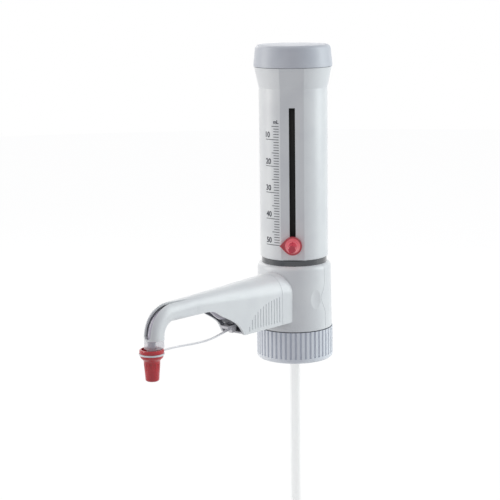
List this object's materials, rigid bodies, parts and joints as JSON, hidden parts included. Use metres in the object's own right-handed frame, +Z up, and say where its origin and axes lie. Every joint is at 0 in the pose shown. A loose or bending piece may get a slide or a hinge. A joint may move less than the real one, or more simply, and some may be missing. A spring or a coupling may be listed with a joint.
{
  "type": "bottle top dispenser",
  "caption": "Bottle-top liquid dispenser: graduated piston housing with sliding volume pointer on a swivelling valve block, with a curved discharge arm, tethered closure cap and filling tube.",
  "frame": {"origin": "centre of the bottle thread's mouth, at the underside of the thread ring", "axes": "+Z up along the dosing cylinder; -X along the discharge arm, towards the nozzle; +Y to the right of the arm seen from the nozzle"},
  "size_m": [0.1995, 0.0556, 0.3795],
  "materials": {
    "white_plastic": "smooth satin moulding",
    "blue_grey_plastic": "fine satin moulding",
    "dark_plastic": "satin moulding",
    "dark_seal": "matt",
    "white_seal": "matt",
    "clear_glass": "polished",
    "clear_plastic": "clear",
    "valve_grey": "translucent, smooth",
    "tube_grey": "smooth",
    "tube_clear": "translucent, smooth",
    "nozzle_plastic": "translucent, smooth",
    "tether_plastic": "smooth",
    "spring_metal": "drawn wire",
    "pointer_red": "translucent, polished",
    "knob_red": "satin",
    "cap_red": "satin moulding",
    "ball_ceramic": "polished ceramic"
  },
  "bodies": {
    "root": {"thread_ring": "blue_grey_plastic", "bottle_seal": "white_seal", "swivel_seal": "dark_seal", "swivel_clip": "dark_plastic"},
    "valve_block": {"swivel_plate": "white_plastic", "block_core": "white_plastic", "block_front_shell": "white_plastic", "block_rear_shell": "white_plastic", "vent_cap": "white_plastic", "safety_ring": "dark_plastic", "glass_cylinder": "clear_glass", "cylinder_sleeve": "clear_plastic", "stop_collar": "dark_plastic", "arm_shell": "white_plastic", "arm_collar": "white_plastic", "discharge_valve_body": "valve_grey", "discharge_spring": "spring_metal", "discharge_connector": "valve_grey", "union_nut": "valve_grey", "discharge_tube": "tube_grey", "nozzle_tip": "nozzle_plastic", "tether_anchor": "tether_plastic", "tether_strap": "tether_plastic", "inlet_valve_body": "valve_grey", "inlet_valve_seat": "valve_grey", "filling_tube_outer": "tube_clear"},
    "volume_housing": {"housing": "white_plastic", "top_cap": "blue_grey_plastic", "rod_nut": "dark_plastic", "piston_rod": "white_plastic", "piston_head": "white_plastic", "piston_wiper": "white_seal"},
    "pointer": {"volume_pointer": "pointer_red", "pointer_carriage": "dark_plastic"},
    "clamp_screw": {"thumbscrew": "knob_red"},
    "closure_ring": {"tether_ring": "tether_plastic"},
    "closure": {"closure_cap": "cap_red"},
    "inlet_valve_ball": {"inlet_ball": "ball_ceramic"},
    "outlet_valve_ball": {"discharge_ball": "ball_ceramic"},
    "telescopic_tube": {"filling_tube_inner": "tube_clear"}
  },
  "joints": [
    {"name": "block_swivel", "type": "hinge", "parent": "root", "child": "valve_block", "pos_m": [0, 0, 0.026], "axis": [0, 0, 1], "continuous": true},
    {"name": "piston_stroke", "type": "slide", "parent": "valve_block", "child": "volume_housing", "axis": [0, 0, 1], "range_m": [0, 0.0935]},
    {"name": "volume_setting", "type": "slide", "parent": "volume_housing", "child": "pointer", "axis": [0, 0, 1], "range_m": [0, 0.0935]},
    {"name": "clamp_turn", "type": "hinge", "parent": "pointer", "child": "clamp_screw", "pos_m": [-0.02499, -0.0166, 0.0851], "axis": [-0.8329, -0.5534, 0], "range_deg": [0, 270]},
    {"name": "cap_lift_off", "type": "slide", "parent": "valve_block", "child": "closure_ring", "axis": [0, 0, -1], "range_m": [0, 0.012], "deforming": ["tether_strap"]},
    {"name": "cap_unscrew", "type": "hinge", "parent": "closure_ring", "child": "closure", "pos_m": [-0.157, 0, 0.0342], "axis": [0, 0, -1], "range_deg": [0, 1440]},
    {"name": "inlet_valve_lift", "type": "slide", "parent": "valve_block", "child": "inlet_valve_ball", "axis": [0, 0, 1], "range_m": [0, 0.0015]},
    {"name": "outlet_valve_lift", "type": "slide", "parent": "valve_block", "child": "outlet_valve_ball", "axis": [-1, 0, 0], "range_m": [0, 0.0015], "stiffness_N_per_m": 20, "deforming": ["discharge_spring"]},
    {"name": "filling_tube_slide", "type": "slide", "parent": "valve_block", "child": "telescopic_tube", "axis": [0, 0, -1], "range_m": [0, 0.14]}
  ],
  "couplings": [
    {"joint": "cap_unscrew", "follows": "cap_lift_off", "rad_per_m": 2094.4}
  ]
}
